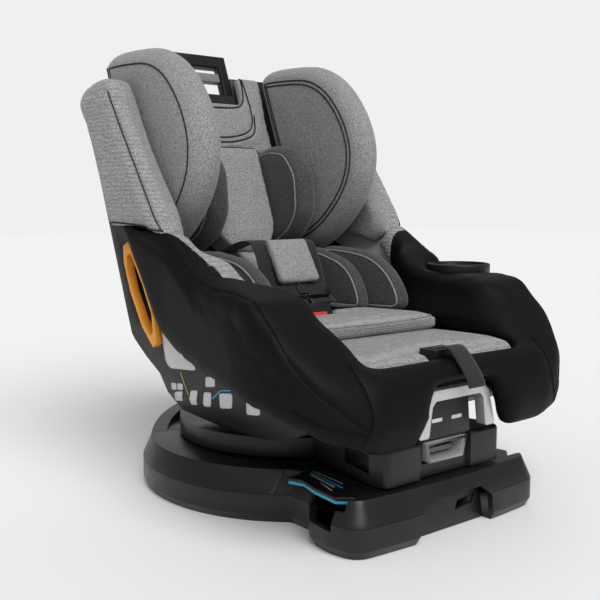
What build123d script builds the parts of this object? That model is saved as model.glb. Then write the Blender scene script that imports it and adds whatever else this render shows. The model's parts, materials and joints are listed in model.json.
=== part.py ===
"""Convertible child car seat that turns on its base: solids in millimetres, +Z up, the seat faces -Y.

The origin is the turning axis at the ground. The base is fixed, the turntable turns on it, the seat
reclines on the turntable along an arc, and the headrest, handles, buttons and cup holder move on those.
"""
from build123d import *
import os
from math import cos, sin, radians, degrees, sqrt

os.makedirs("parts", exist_ok=True)

# Base
REAR_R = 204.0            # rear lobe of the base at the ground
PAN_TOP = 36.0            # seam between the pan and the covers
COVER_TOP = 64.0          # flat top of the covers
BASE_WALL = 4.0
FRONT_Y = -297.0          # corners of the base's front edge
FRONT_BOW = 8.0           # how far the front edge bows out at the middle
FRONT_HALF = 150.0
HUB_R = 30.0              # hub post that carries the turntable
RING_R = 128.0            # slip ring under the turntable
BELT_Y = (-266.0, -212.0)     # vehicle belt channel through the base
BELT_Z = (38.0, 54.0)

# Turntable
TABLE_R = 160.0
TABLE_BOTTOM = 67.5
BLOCK_TOP = 111.0
BLOCK_FRONT = -290.0
CHEEK_IN = 44.0           # the recline handle sits between two cheeks

# Recline arc: the shell's underside is a cylinder about this line along X
ARC_Y = -70.0
ARC_Z = 540.0
ARC_R = 442.0
ARC_GAP = 3.0

# Seat
SHELL_HALF = 203.0
SHELL_WALL = 6.0
LINER_IN = 186.0
COVER_IN = 176.0
COVER_OUT = 215.0
ARM_OUT = 237.0
ARM_IN = 150.0
PAD_EDGE = 129.0
GAP = 0.5

# Backrest frame: s runs up the back, t runs forward from the back's front face
BACK_Y = 150.0
BACK_Z = 311.0
BACK_TILT = radians(21.6)
WEB = 2.4                 # harness webbing

# Moving pieces
ROD_X = 55.0
ROD_R = 5.0
ROD_T = -34.0
CUP_X = 205.0
CUP_Y = -125.0
CUP_R = 35.0
CUP_FLOOR = 262.0
CUP_TOP = 299.0


def back(s, t):
    """A point of the backrest frame as (y, z)."""
    y = BACK_Y + s * sin(BACK_TILT) - t * cos(BACK_TILT)
    z = BACK_Z + s * cos(BACK_TILT) + t * sin(BACK_TILT)
    return (y, z)


def arc_z(y, radius):
    """Height of the recline cylinder's lower side at y."""
    return ARC_Z - sqrt(radius ** 2 - (y - ARC_Y) ** 2)


def box(x0, x1, y0, y1, z0, z1):
    return Pos((x0 + x1) / 2, (y0 + y1) / 2, (z0 + z1) / 2) * Box(x1 - x0, y1 - y0, z1 - z0)


def side_solid(points, x0, x1):
    """An outline in the (y, z) side view, drawn out from x0 to x1."""
    outline = Plane.YZ.offset(x0) * make_face(Polyline(*points, close=True))
    return extrude(outline, amount=x1 - x0, dir=(1, 0, 0))


def back_solid(points, x0, x1):
    """An outline in the backrest's (s, t) frame, drawn out from x0 to x1."""
    return side_solid([back(s, t) for s, t in points], x0, x1)


def back_box(s0, s1, t0, t1, x0, x1):
    return back_solid([(s0, t0), (s1, t0), (s1, t1), (s0, t1)], x0, x1)


def top_solid(points, z0, z1):
    """An outline in the (x, y) top view, drawn out from z0 to z1."""
    outline = Plane.XY.offset(z0) * make_face(Polyline(*points, close=True))
    return extrude(outline, amount=z1 - z0, dir=(0, 0, 1))


def front_solid(points, y0, y1):
    """An outline in the (x, z) front view, drawn out from y0 to y1."""
    plane = Plane(origin=(0, y0, 0), x_dir=(1, 0, 0), z_dir=(0, -1, 0))
    outline = plane * make_face(Polyline(*points, close=True))
    return extrude(outline, amount=y1 - y0, dir=(0, 1, 0))


def curved(points, per_leg=4):
    """Points of a smooth curve through the given ones."""
    first = (2 * points[0][0] - points[1][0], 2 * points[0][1] - points[1][1])
    last = (2 * points[-1][0] - points[-2][0], 2 * points[-1][1] - points[-2][1])
    knots = [first] + list(points) + [last]
    out = []
    for p0, p1, p2, p3 in zip(knots, knots[1:], knots[2:], knots[3:]):
        for k in range(per_leg):
            u = k / per_leg
            point = []
            for a, b, c, d in zip(p0, p1, p2, p3):
                bend = 2 * a - 5 * b + 4 * c - d
                twist = 3 * b - a - 3 * c + d
                point.append(0.5 * (2 * b + (c - a) * u + bend * u ** 2 + twist * u ** 3))
            out.append(tuple(point))
    return out + [points[-1]]


def mirrored(half):
    """The outline of a symmetric shape from its right half, listed from the top down."""
    return half + [(-x, v) for x, v in reversed(half)]


def disc(radius, z0, z1, x=0.0, y=0.0):
    return Pos(x, y, (z0 + z1) / 2) * Cylinder(radius, z1 - z0)


def ring(outer, inner, z0, z1, x=0.0, y=0.0):
    return disc(outer, z0, z1, x, y) - disc(inner, z0 - 1, z1 + 1, x, y)


def rod_x(radius, x0, x1, y, z):
    return Pos((x0 + x1) / 2, y, z) * Rot(0, 90, 0) * Cylinder(radius, x1 - x0)


def recline_cylinder(radius):
    return rod_x(radius, -300, 300, ARC_Y, ARC_Z)


def ribbon(path, thickness, x0, x1):
    """A flat strap whose side view follows a path of (y, z) points."""
    left = []
    right = []
    for i, (y, z) in enumerate(path):
        y0, z0 = path[max(i - 1, 0)]
        y1, z1 = path[min(i + 1, len(path) - 1)]
        length = sqrt((y1 - y0) ** 2 + (z1 - z0) ** 2)
        ny = -(z1 - z0) / length * thickness / 2
        nz = (y1 - y0) / length * thickness / 2
        left.append((y + ny, z + nz))
        right.append((y - ny, z - nz))
    return side_solid(left + right[::-1], x0, x1)


def both(right):
    """A right-hand piece and its mirror image, as separate solids of one node."""
    return Compound([right, mirror(right, about=Plane.YZ)])


# ---------------------------------------------------------------- base

def base_outline(grow):
    """Plan of the base: a round rear lobe, a waist and a wide front lobe with a bowed front edge."""
    front = [(128, -120), (128, -206), (152, -232), (FRONT_HALF + 6, -262), (FRONT_HALF, FRONT_Y)]
    left = [(-x, y) for x, y in reversed(front)]
    bow = ThreePointArc(front[-1], (0, FRONT_Y - FRONT_BOW), left[0])
    lobe = make_face([Polyline(*front), bow, Polyline(*left), Line(left[-1], front[0])])
    plan = Circle(REAR_R) + lobe
    corners = [v for v in plan.vertices() if abs(v.Y) > 130]
    plan = fillet(corners, 20)
    return offset(plan, amount=grow, kind=Kind.ARC)


def slice_of(plan, z0, z1, taper=0.0):
    return extrude(Plane.XY.offset(z0) * plan, amount=z1 - z0, taper=taper)


def belt_channel():
    y0, y1 = BELT_Y
    z0, z1 = BELT_Z
    through = box(-260, 260, y0, y1, z0, z1)
    mouth = box(112, 260, y0 - 4, y1 + 4, PAN_TOP - 8, z1 + 12)
    return through + mouth + mirror(mouth, about=Plane.YZ)


def front_recess(y_back):
    """The arched recess in the middle of the base's front face."""
    return front_solid(mirrored([(44, 47), (61, 33), (66, -1)]), FRONT_Y - 30, y_back)


def base_pan():
    body = slice_of(base_outline(8), 10, PAN_TOP)
    body += slice_of(base_outline(2), 0, 10, taper=-30)
    body -= slice_of(base_outline(8 - 2 * BASE_WALL), BASE_WALL, PAN_TOP + 1)
    for radius in (60, 120):
        body += ring(radius, radius - 4, BASE_WALL, PAN_TOP - 6)
    body += disc(HUB_R + 8, BASE_WALL, PAN_TOP - 6)
    body -= belt_channel()
    body -= front_recess(FRONT_Y + 22)
    for x, y in foot_places():
        body -= disc(18, -1, 3, x, y)
    body -= disc(6.2, BASE_WALL + 2, PAN_TOP, 0, 0)
    return body


def foot_places():
    ring_places = [(150 * cos(radians(a)), 150 * sin(radians(a))) for a in (20, 160, 90)]
    return ring_places + [(118, -236), (-118, -236)]


def cover_shell():
    """The whole upper skin of the base, before it is cut into its front and rear covers."""
    skin = slice_of(base_outline(8), PAN_TOP + GAP, COVER_TOP, taper=24)
    profile = Polyline((178, 40), (202, 40), (201, COVER_TOP - 2), (191, 92), (180, 92), close=True)
    collar = revolve(Plane.XZ * make_face(profile))
    slope = side_solid([(60, 30), (60, COVER_TOP - 8), (100, COVER_TOP + 1), (230, 94), (230, 30)], -230, 230)
    inner = slice_of(base_outline(8 - BASE_WALL), PAN_TOP, COVER_TOP - BASE_WALL, taper=24)
    skin -= inner
    skin += (collar & slope)
    skin -= disc(72, 40, 100)
    return skin


def base_rear_cover():
    return cover_shell() & box(-260, 260, -150, 260, 0, 120)


def base_front_cover():
    skin = cover_shell() & box(-260, 260, -330, -150 - GAP, 0, 120)
    skin -= belt_channel()
    skin -= box(100 - GAP, 200, -282, -168, 50, 80)
    skin -= box(-200, -100 + GAP, -282, -168, 50, 80)
    skin -= front_recess(FRONT_Y + 22)
    return skin


def front_recess_panel():
    """Set-back panel in the front recess, with a small slot for the leveller tool."""
    outline = mirrored([(43, 46), (60, 32.5), (65, 0.6)])
    panel = front_solid(outline, FRONT_Y + 4, FRONT_Y + 8)
    panel -= front_solid([(14, 20), (46, 24), (50, 34), (18, 31)], FRONT_Y, FRONT_Y + 30)
    return panel


def belt_plate():
    """Raised plate over the mouth of the belt channel."""
    outline = [(100, -278), (132, -278), (150, -262), (146, -222), (138, -190), (146, -170), (100, -170)]
    plate = top_solid(outline, 58, 62)
    return fillet(plate.edges().group_by(Axis.Z)[-1], 1.2)


def blue_guide():
    """Coloured strip that marks the belt path along the plate's outer edge."""
    outer = [(106, -277), (131, -277), (148, -261), (144, -222), (136, -190), (144, -171)]
    inner = [(140, -171), (132, -190), (140, -222), (144, -260), (129.5, -273), (106, -273)]
    return top_solid(outer + inner, 53.5, 57.8)


def base_frame():
    """Steel channel inside the base, from the hub to the front."""
    rails = box(20, 60, -190, 100, BASE_WALL + 27.5, BASE_WALL + 30.5)
    rails += mirror(rails, about=Plane.YZ)
    return rails + box(-60, 60, 70, 100, BASE_WALL + 27.5, BASE_WALL + 30.5) - disc(HUB_R + 9, 0, 60)


def hub_post():
    return disc(HUB_R, 30.5, 88) + disc(HUB_R + 6, 30.5, 36)


def slip_ring():
    return ring(RING_R, RING_R - 16, COVER_TOP, COVER_TOP + 3)


# ---------------------------------------------------------------- turntable

def block_plan(grow):
    half = [(74 + grow, -110), (88 + grow, -201), (103 + grow, -270), (98 + grow, BLOCK_FRONT - grow)]
    return half + [(-x, y) for x, y in reversed(half)]


def turntable_platform():
    cradle = recline_cylinder(ARC_R + ARC_GAP)
    table = disc(TABLE_R, TABLE_BOTTOM, 92)
    table -= disc(TABLE_R - 4, TABLE_BOTTOM - 1, 80) - disc(112, 60, 90)
    block = top_solid(block_plan(0), TABLE_BOTTOM, BLOCK_TOP)
    upright = block.edges().filter_by(Axis.Z).sort_by(Axis.Y)[:2]
    block = fillet(upright, 10)
    block = fillet(block.edges().group_by(Axis.Z)[-1], 5)
    block -= box(-CHEEK_IN, CHEEK_IN, BLOCK_FRONT - 20, BLOCK_FRONT + 5, 60, 130)
    body = (table + block) - cradle
    body -= disc(HUB_R + 0.6, 60, 200)
    body -= box(-36, 36, BLOCK_FRONT - 5, -258, 83, 109.4)
    body -= box(-9, 9, -259, -170, 89, 103)
    for side in (1, -1):
        body -= Pos(side * 96, -238, 91) * Rot(0, 0, side * 13) * Box(24, 56, 22)
    return body


def recline_bezel():
    """Bright rim around the recline handle's cup."""
    outer = mirrored([(35.5, 109), (29.5, 83.5)])
    inner = mirrored([(31.5, 105.5), (26.5, 87)])
    frame = front_solid(outer, BLOCK_FRONT - 1, BLOCK_FRONT + 26)
    return frame - front_solid(inner, BLOCK_FRONT - 5, BLOCK_FRONT + 30)


def recline_handle():
    paddle = front_solid(mirrored([(29.5, 104), (25, 88.6)]), BLOCK_FRONT + 18, BLOCK_FRONT + 22)
    paddle += front_solid(mirrored([(27, 96), (26, 91)]), BLOCK_FRONT + 14.5, BLOCK_FRONT + 18)
    return paddle


def recline_rod():
    return box(-7, 7, BLOCK_FRONT + 33, -172, 92, 100) + box(-5, 5, BLOCK_FRONT + 22, -250, 93, 99)


def block_window():
    """Recline indicator behind the window of a cheek."""
    return Pos(91, -238, 91) * Rot(0, 0, 13) * Box(3, 50, 20)


# ---------------------------------------------------------------- seat shell

RIM = [(134, 540), (0, 340), (-66, 290), (-82, 250), (-212, 250), (-248, 232), (-280, 190)]


def shell_side(inset):
    """Side view of the shell; inset moves the bottom and the back inwards."""
    radius = ARC_R - inset
    bottom = [(y, arc_z(y, radius)) for y in range(-260, 31, 29)]
    rear = [(48 - inset, 160), (100 - inset, 200), (152 - inset, 262)]
    rear += [back(90, -22 + inset), back(215, -22 + inset)]
    return bottom + rear


def shell_front(inset):
    """Half width of the shell at each height."""
    half = [(196, 560), (203, 350), (201, 240), (194, 180), (182, 135), (165, 110), (140, 90)]
    return mirrored([(x - inset, z) for x, z in half])


def back_corners(inset):
    """The shell's plan seen along the back, with rounded rear corners; inset shrinks it."""
    up = (0, sin(BACK_TILT), cos(BACK_TILT))
    plane = Plane(origin=(0, BACK_Y - 500 * up[1], BACK_Z - 500 * up[2]), x_dir=(1, 0, 0), z_dir=up)
    half = [(205, -500), (205, -40), (201, -10), (192, 8), (176, 18), (150, 22.5)]
    outline = plane * make_face(Polyline(*mirrored([(x - inset, v - inset) for x, v in half]), close=True))
    return extrude(outline, amount=1000, dir=up)


def seat_shell():
    outer = side_solid(shell_side(0) + RIM + [(-276, 150)], -210, 210)
    outer &= front_solid(shell_front(0), -400, 400)
    outer &= back_corners(0)
    opening = [(60, 640), (-400, 640), (-400, 165), (-262, 160)]
    cavity = side_solid(shell_side(SHELL_WALL) + opening, -210, 210)
    cavity &= front_solid(shell_front(SHELL_WALL), -400, 400)
    cavity &= back_corners(SHELL_WALL)
    body = outer - cavity
    body -= back_box(44, 200, -40, 10, -16, 16)
    slot = side_solid(guide_outline(1.0), 180, 215)
    body -= slot + mirror(slot, about=Plane.YZ)
    return body


def guide_outline(scale):
    """Side view of the vehicle belt slot through the shell's side, scaled about its middle."""
    outline = [(98, 334), (111, 328), (110, 305), (93, 266), (63, 222), (34, 197), (26, 204), (29, 234),
               (58, 282)]
    return [(68 + (y - 68) * scale, 266 + (z - 266) * scale) for y, z in outline]


def belt_guides():
    """Orange frames lining the vehicle belt slots in the shell's sides."""
    frame = side_solid(guide_outline(0.99), 194, 206) - side_solid(guide_outline(0.78), 150, 250)
    return both(frame)


def shell_back_cover():
    outer = back_box(-70, 214, -52, -23, -140, 140)
    outer = fillet(outer.edges().filter_by(Axis.X).sort_by(Axis.Y)[-2:], 10)
    return outer - back_box(-66, 210, -48, -22, -136, 136)


def headrest_rods():
    return both(Pos(ROD_X, *back(78, ROD_T)) * Rot(-degrees(BACK_TILT), 0, 0) * Cylinder(ROD_R, 250))


def steel_frame():
    bar = back_box(-62, 200, -40, -26, 100, 112)
    return bar + mirror(bar, about=Plane.YZ) + back_box(-62, -52, -40, -26, -105, 105)


def splitter_plate():
    """Steel yoke that joins the two shoulder straps behind the back."""
    return back_box(-49, -47, -46, -28, -28, 28)


def side_liners():
    """Energy absorbing foam inside the shell's sides."""
    outline = [back(30, -2), back(200, -2), back(200, 70), (4, 325), (-40, 296), (-60, 250)]
    liner = side_solid(outline, LINER_IN, SHELL_HALF - SHELL_WALL - 6)
    return both(liner & back_corners(SHELL_WALL + 1))


def seat_foam():
    """Foam block under the seat pad."""
    radius = ARC_R - SHELL_WALL - 1
    bottom = [(y, arc_z(y, radius)) for y in range(-240, 21, 26)]
    outline = bottom + [(34, 158), (58, 186), (58, 190), (-255, 190)]
    return side_solid(outline, -128, 128)


def recline_rails():
    """Steel runners inside the shell's floor, on the recline arc."""
    outer = ARC_R - SHELL_WALL - 1
    rail = rod_x(outer, 128.5, 133, ARC_Y, ARC_Z) - rod_x(outer - 14, 120, 140, ARC_Y, ARC_Z)
    return both(rail & box(120, 140, -230, 20, 60, 180))


def back_pad():
    return back_box(-40, 210, -13.5, -0.6, -160, 160) - back_box(44, 200, -20, 10, -16, 16)


def seat_pad():
    outline = [(70, 190.5), (70, 210), (-255, 214), (-284, 210), (-294, 196), (-294, 176), (-286, 176),
               (-286, 190.5)]
    pad = side_solid(outline, -128, 128)
    pad -= box(-16, 16, -64, -30, 180, 230) + box(-28, 28, -72, -30, 206, 230)
    return pad - box(-21, 21, -290, -262, 180, 230)


# ---------------------------------------------------------------- covers

ARM_RIM = [(-8, 349.3), (-73, 306), (-105, 291), (-166, 289), (-216, 281), (-256, 245), (-313, 190),
           (-328, 150)]


def side_cover():
    """Grey cover over the upper side of the shell: outer face, rim and inner face."""
    crown = curved([(196, 490), (219, 522), (208, 541), (172, 551), (134, 549), (100, 503)])
    outer = crown + [(-8, 350), (40, 357), (132, 359), (160, 415)]
    cover = side_solid(outer, SHELL_HALF + GAP, COVER_OUT)
    rim = crown[4:] + [(-8, 350), (5, 350.8), (134, 541), back(222, 4)]
    cover += side_solid(rim, COVER_IN, COVER_OUT)
    inner = [back(216, 0), (172, 545), (134, 549), (-8, 350), (20, 330), back(40, 0)]
    cover += side_solid(inner, COVER_IN, LINER_IN - GAP)
    return cover & back_corners(SHELL_HALF - COVER_OUT - 2)


def arm_plan():
    """Top view of an arm: it swells outwards towards the front."""
    return [(COVER_IN, 140), (COVER_OUT, 140), (COVER_OUT, -20), (225, -110), (ARM_OUT, -215), (230, -262),
            (205, -298), (168, -322), (ARM_IN, -328), (ARM_IN, -295), (PAD_EDGE, -295), (PAD_EDGE, -70),
            (COVER_IN, -40)]


def arm_cover():
    """Black cover over the arm and the lower side of the shell."""
    lower = [(-318, 126), (-262, 155), (-203, 169), (-103, 185.5), (-39, 201), (6, 226), (20, 247), (60, 298)]
    lower += [(86, 334), (112, 357)]
    body = side_solid(lower + [(40, 354)] + ARM_RIM, PAD_EDGE - 1, 240)
    inside = [(-285, 90), (-285, 205), (-60, 216), (-30, 262), (18, 329), (-10, 349), (-10, 380), (160, 380),
              (160, 90)]
    body -= side_solid(inside, 0, SHELL_HALF + GAP)
    body &= top_solid(arm_plan(), 100, 400)
    section = [(ARM_IN, 400), (ARM_IN, 262), (PAD_EDGE, 222), (PAD_EDGE, 90), (250, 90), (250, 400)]
    body &= front_solid(section, -400, 200)
    wall = shell_side(0) + [(y, z + 0.6) for y, z in RIM] + [(-281, 150)]
    body -= side_solid(wall, SHELL_HALF - SHELL_WALL - 2.5, SHELL_HALF + 2 * GAP)
    low_wall = [(-281.5, 90), (-281.5, 191), (-248, 233), (-212, 251), (60, 251), (60, 90)]
    body -= side_solid(low_wall, 184, SHELL_HALF + 0.7)
    liner = [(-62, 245), (-62, 253), (-42, 298), (4, 328), (20, 345), (40, 352), (40, 245)]
    return body - side_solid(liner, LINER_IN - GAP, SHELL_HALF - 5)


def arm_cover_right():
    well = disc(CUP_R + 3.5, CUP_FLOOR - 2.5, 400, CUP_X, CUP_Y)
    return arm_cover() - well - disc(CUP_R + 11, CUP_TOP - 21, 400, CUP_X, CUP_Y)


def front_cover():
    """Black apron that closes the front between the arms, arched over the turn handle."""
    outline = [(-295.5, 214), (-300, 214), (-322, 190), (-330, 150), (-318, 118), (-300, 118), (-300, 150),
               (-295.5, 176)]
    apron = side_solid(outline, -ARM_IN + GAP, ARM_IN - GAP)
    arch = front_solid(mirrored([(46, 182), (58, 170), (71, 125), (72, 100)]), -400, -200)
    return apron - arch


# ---------------------------------------------------------------- front of the seat

def front_panel():
    """Panel behind the turn handle, hung from the shell's front edge."""
    panel = front_solid(mirrored([(38, 158), (42, 112)]), -290, -284)
    return panel + box(-38, 38, -290, -280, 158, 163)


def turn_handle():
    outer = front_solid(mirrored([(42, 174), (54, 164), (66, 121)]), -308, -294)
    inner = front_solid(mirrored([(38, 162), (44, 156), (52, 100)]), -320, -280)
    handle = outer - inner
    return fillet(handle.edges().filter_by(Axis.Y), 3)


def cup_dock():
    """Ring in the right arm that the cup holder drops into."""
    return ring(CUP_R + 3, CUP_R + 0.5, CUP_FLOOR - 2, CUP_TOP - 21, CUP_X, CUP_Y)


def cup_holder():
    cup = disc(CUP_R, CUP_FLOOR, CUP_TOP, CUP_X, CUP_Y)
    cup += disc(CUP_R + 10, CUP_TOP - 20, CUP_TOP, CUP_X, CUP_Y)
    rim = cup.faces().sort_by(Axis.Z)[-1].edges()
    cup = fillet(rim, 2.5)
    cup -= disc(CUP_R - 3, CUP_FLOOR + 3, CUP_TOP + 5, CUP_X, CUP_Y)
    return cup - disc(CUP_R + 6, CUP_TOP - 16, CUP_TOP + 5, CUP_X, CUP_Y)


def adjuster_housing():
    body = box(-20, 20, -289, -263, 190.6, 216) - box(-14, 14, -283, -268, 204, 230)
    return body


def adjuster_button():
    return box(-13.5, 13.5, -282.5, -268.5, 209, 217)


def adjuster_strap():
    """Pull strap that tightens the harness, hanging over the front of the pad."""
    return ribbon([(-287, 218.5), (-303, 219), (-327, 194), (-335, 178)], 3, -14, 14)


def body_insert():
    """Infant insert: a seat slab with a lip, and a back."""
    outline = [(62, 214.6), (62, 230), (-150, 236), (-172, 232), (-172, 219), (-160, 216)]
    slab = side_solid(outline, -112, 112) - box(-34, 34, -76, -20, 200, 250)
    return Compound([slab, back_box(-70, -17, 0.2, 52, -74, 74)])


def insert_bolsters_inner():
    outline = [(96, 262), (100, 300), (62, 322), (17, 312), (-12, 303), (-34, 288), (-48, 266), (-54, 246),
               (-55, 235), (60, 232)]
    return both(side_solid(curved(outline[:-1]) + outline[-1:], 79, 100))


def insert_bolsters_outer():
    outline = [(98, 262), (101, 300), (56, 322), (0, 318), (-46, 312), (-79, 295), (-100, 272), (-110, 250),
               (-112, 237), (60, 232)]
    return both(side_solid(curved(outline[:-1]) + outline[-1:], 102, 126))


def shoulder_straps():
    path = [back(-14.5, 24), back(-14.5, 60), (25.6, 329), (-5.5, 268.5), (-21.5, 249.8), (-29.5, 246.2)]
    return both(ribbon(path, WEB, 22, 56))


def hip_straps():
    top = [(36, 242.2), (60, 239.7), (77, 237.7)]
    return both(front_solid(top + [(x, z - WEB) for x, z in reversed(top)], -48, -14))


def crotch_strap():
    return ribbon([(-42, 191), (-50, 201), (-61, 212.5)], WEB, -14, 14)


def chest_pad():
    return ribbon([(18, 332), (-16, 276)], 11, -34, 34)


def chest_clip():
    """The two halves of the clip, which meet in the middle."""
    half = ribbon([(-12, 270), (-25, 255)], 8, 0.5, 48)
    return both(half - ribbon([(-15.6, 269.8), (-25.4, 258.6)], 6.7, -8.6, 8.6))


def clip_button():
    return ribbon([(-16.6, 270), (-25.6, 259.6)], 4, -8, 8)


def harness_tongues():
    return both(ribbon([(-41, 244.6), (-34.5, 253)], 3, 3, 34))


def buckle_housing():
    body = ribbon([(-41, 243), (-61, 214)], 16, -26, 26)
    return body - ribbon([(-51.5, 235.1), (-62.3, 219.5)], 10.7, -15.5, 15.5)


def buckle_button():
    return ribbon([(-52.9, 235.4), (-63.1, 220.6)], 6, -15, 15)


# ---------------------------------------------------------------- headrest

WING = [(-16, 35), (1, 106), (30, 176), (65, 220), (125, 227), (185, 205), (222, 186), (256, 142), (278, 82),
        (300, 28), (290, 9), (0, 9)]


def headrest_plate():
    plate = back_box(-8, 292, 1, 8, -150, 150)
    notch = back_box(262, 330, -5, 20, -67, 67)
    return plate - notch


def headrest_grip():
    """Arched bar across the top of the headrest, with room for fingers under it."""
    bar = back_box(262, 330, -8, 8, -66, 66) - back_box(240, 312, -20, 20, -52, 52)
    return bar


def headrest_lever():
    return back_box(286, 300, -6, 5, -50, 50)


def headrest_wing():
    return back_solid(curved(WING[:-2]) + WING[-2:], 114, 165)


def headrest_pad():
    pad = back_box(156, 286, 8.6, 24, -112, 112)
    return pad - back_box(238, 300, 0, 40, -70, 70)


def pillow_centre():
    return back_box(-12, 150, 9, 52, -56, 56)


def pillow_bolsters():
    outline = [(-8, 9)] + curved([(-8, 40), (-4, 74), (20, 110), (80, 128), (128, 112), (148, 70), (151, 40)])
    outline += [(152, 9)]
    return both(back_solid(outline, 60, 98))


def headrest_carrier():
    """Sleeve on the guide rods, joined to the headrest through the slot in the back."""
    sleeve = back_box(44, 70, -43, -26, -72, 72)
    hole = Pos(ROD_X, *back(57, ROD_T)) * Rot(-degrees(BACK_TILT), 0, 0) * Cylinder(ROD_R + 0.35, 60)
    sleeve -= hole + mirror(hole, about=Plane.YZ)
    return sleeve + back_box(46, 68, -26.5, 0.9, -12, 12)


# ---------------------------------------------------------------- small pieces of the base

def base_screws():
    places = [(160 * cos(radians(a)), 160 * sin(radians(a))) for a in (55, 125, 195, 345)]
    return Compound([disc(5, BASE_WALL, BASE_WALL + 5, x, y) for x, y in places])


def foot_pads():
    return Compound([disc(17.8, 0, 2.9, x, y) for x, y in foot_places()])


def belt_plates():
    return both(belt_plate())


def blue_guides():
    return both(blue_guide())


def block_windows():
    return both(block_window())


RIGHT_AND_LEFT = {"side_cover": side_cover, "headrest_wing": headrest_wing}

NODES = [
    base_pan, base_rear_cover, base_front_cover, front_recess_panel, belt_plates, blue_guides, base_frame,
    hub_post, slip_ring, foot_pads, base_screws, turntable_platform, recline_bezel, block_windows,
    recline_handle, recline_rod, seat_shell, belt_guides, shell_back_cover, headrest_rods, steel_frame,
    splitter_plate, side_liners, seat_foam, recline_rails, back_pad, seat_pad, arm_cover_right, front_cover,
    front_panel, turn_handle, cup_dock, cup_holder, adjuster_housing, adjuster_button, adjuster_strap,
    body_insert, insert_bolsters_inner, insert_bolsters_outer, shoulder_straps, hip_straps, crotch_strap,
    chest_pad, chest_clip, clip_button, harness_tongues, buckle_housing, buckle_button, headrest_plate,
    headrest_grip, headrest_lever, headrest_pad, pillow_centre, pillow_bolsters, headrest_carrier,
]

for make in NODES:
    export_step(make(), f"parts/{make.__name__}.step")
for name, make in RIGHT_AND_LEFT.items():
    export_step(make(), f"parts/{name}_right.step")
    export_step(mirror(make(), about=Plane.YZ), f"parts/{name}_left.step")
export_step(mirror(arm_cover(), about=Plane.YZ), "parts/arm_cover_left.step")
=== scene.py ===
"""Looks of a convertible car seat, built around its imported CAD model. Lengths in helpers are millimetres."""
import json
import math

import bmesh
import bpy
import numpy as np
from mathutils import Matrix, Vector
from mathutils.bvhtree import BVHTree
from mathutils.kdtree import KDTree


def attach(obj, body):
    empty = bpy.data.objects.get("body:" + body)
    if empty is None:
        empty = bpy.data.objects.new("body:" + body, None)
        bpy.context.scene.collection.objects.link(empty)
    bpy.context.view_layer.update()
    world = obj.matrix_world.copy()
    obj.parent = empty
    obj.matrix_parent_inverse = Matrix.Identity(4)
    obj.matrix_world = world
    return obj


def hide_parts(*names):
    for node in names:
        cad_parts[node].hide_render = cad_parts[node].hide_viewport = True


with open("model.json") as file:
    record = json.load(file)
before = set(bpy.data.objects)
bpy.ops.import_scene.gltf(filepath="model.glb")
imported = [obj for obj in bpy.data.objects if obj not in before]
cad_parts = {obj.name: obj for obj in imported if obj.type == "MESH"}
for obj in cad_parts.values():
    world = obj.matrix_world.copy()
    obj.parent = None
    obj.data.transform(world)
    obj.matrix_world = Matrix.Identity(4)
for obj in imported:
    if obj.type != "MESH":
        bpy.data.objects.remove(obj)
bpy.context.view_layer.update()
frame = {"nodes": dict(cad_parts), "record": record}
scene = bpy.context.scene
scene.view_settings.view_transform = "Standard"
CAD = frame["nodes"]
TILT = math.radians(21.6)


def back(s, t):
    """A point of the backrest's frame (up the back, forward of it) as (y, z)."""
    return (150 + s * math.sin(TILT) - t * math.cos(TILT), 311 + s * math.cos(TILT) + t * math.sin(TILT))


# ---------------------------------------------------------------- materials

def add(tree, kind, **values):
    """A shader node, its values set on inputs or, where there is none of that name, on the node."""
    node = tree.nodes.new(kind)
    for name, value in values.items():
        if name in node.inputs:
            node.inputs[name].default_value = value
        else:
            setattr(node, name, value)
    return node


def start_material(name, rough, sheen=0.0, metallic=0.0, specular=0.5, coat=0.0):
    material = bpy.data.materials.new(name)
    material.use_nodes = True
    tree = material.node_tree
    shader = tree.nodes["Principled BSDF"]
    shader.inputs["Roughness"].default_value = rough
    shader.inputs["Metallic"].default_value = metallic
    shader.inputs["Specular IOR Level"].default_value = specular
    shader.inputs["Sheen Weight"].default_value = sheen
    shader.inputs["Sheen Roughness"].default_value = 0.45
    shader.inputs["Coat Weight"].default_value = coat
    place = add(tree, "ShaderNodeTexCoord")
    return material, tree, shader, place.outputs["Object"]


def ramp(tree, source, stops):
    """Colours by value: stops are (value, linear grey or colour)."""
    node = tree.nodes.new("ShaderNodeValToRGB")
    elements = node.color_ramp.elements
    while len(elements) < len(stops):
        elements.new(0.5)
    for element, (value, colour) in zip(elements, stops):
        if not hasattr(colour, "__len__"):
            colour = (colour, colour, colour * 1.01)
        element.position = value
        element.color = (*colour, 1)
    tree.links.new(source, node.inputs[0])
    return node.outputs[0]


def mapped(tree, place, scale):
    node = add(tree, "ShaderNodeMapping", Scale=scale)
    tree.links.new(place, node.inputs[0])
    return node.outputs[0]


def textured(tree, kind, place, output, **values):
    node = add(tree, kind, **values)
    tree.links.new(place, node.inputs["Vector"])
    return node.outputs[output]


def mix(tree, a, b, factor):
    """Colour a multiplied by b."""
    node = tree.nodes.new("ShaderNodeMix")
    node.data_type = "RGBA"
    node.blend_type = "MULTIPLY"
    node.inputs[0].default_value = factor
    tree.links.new(a, node.inputs[6])
    tree.links.new(b, node.inputs[7])
    return node.outputs[2]


def bump(tree, shader, heights):
    """Stacks bumps: heights are (socket, strength, distance in metres)."""
    last = None
    for socket, strength, distance in heights:
        node = add(tree, "ShaderNodeBump", Strength=strength, Distance=distance)
        tree.links.new(socket, node.inputs["Height"])
        if last:
            tree.links.new(last, node.inputs["Normal"])
        last = node.outputs[0]
    tree.links.new(last, shader.inputs["Normal"])


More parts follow.
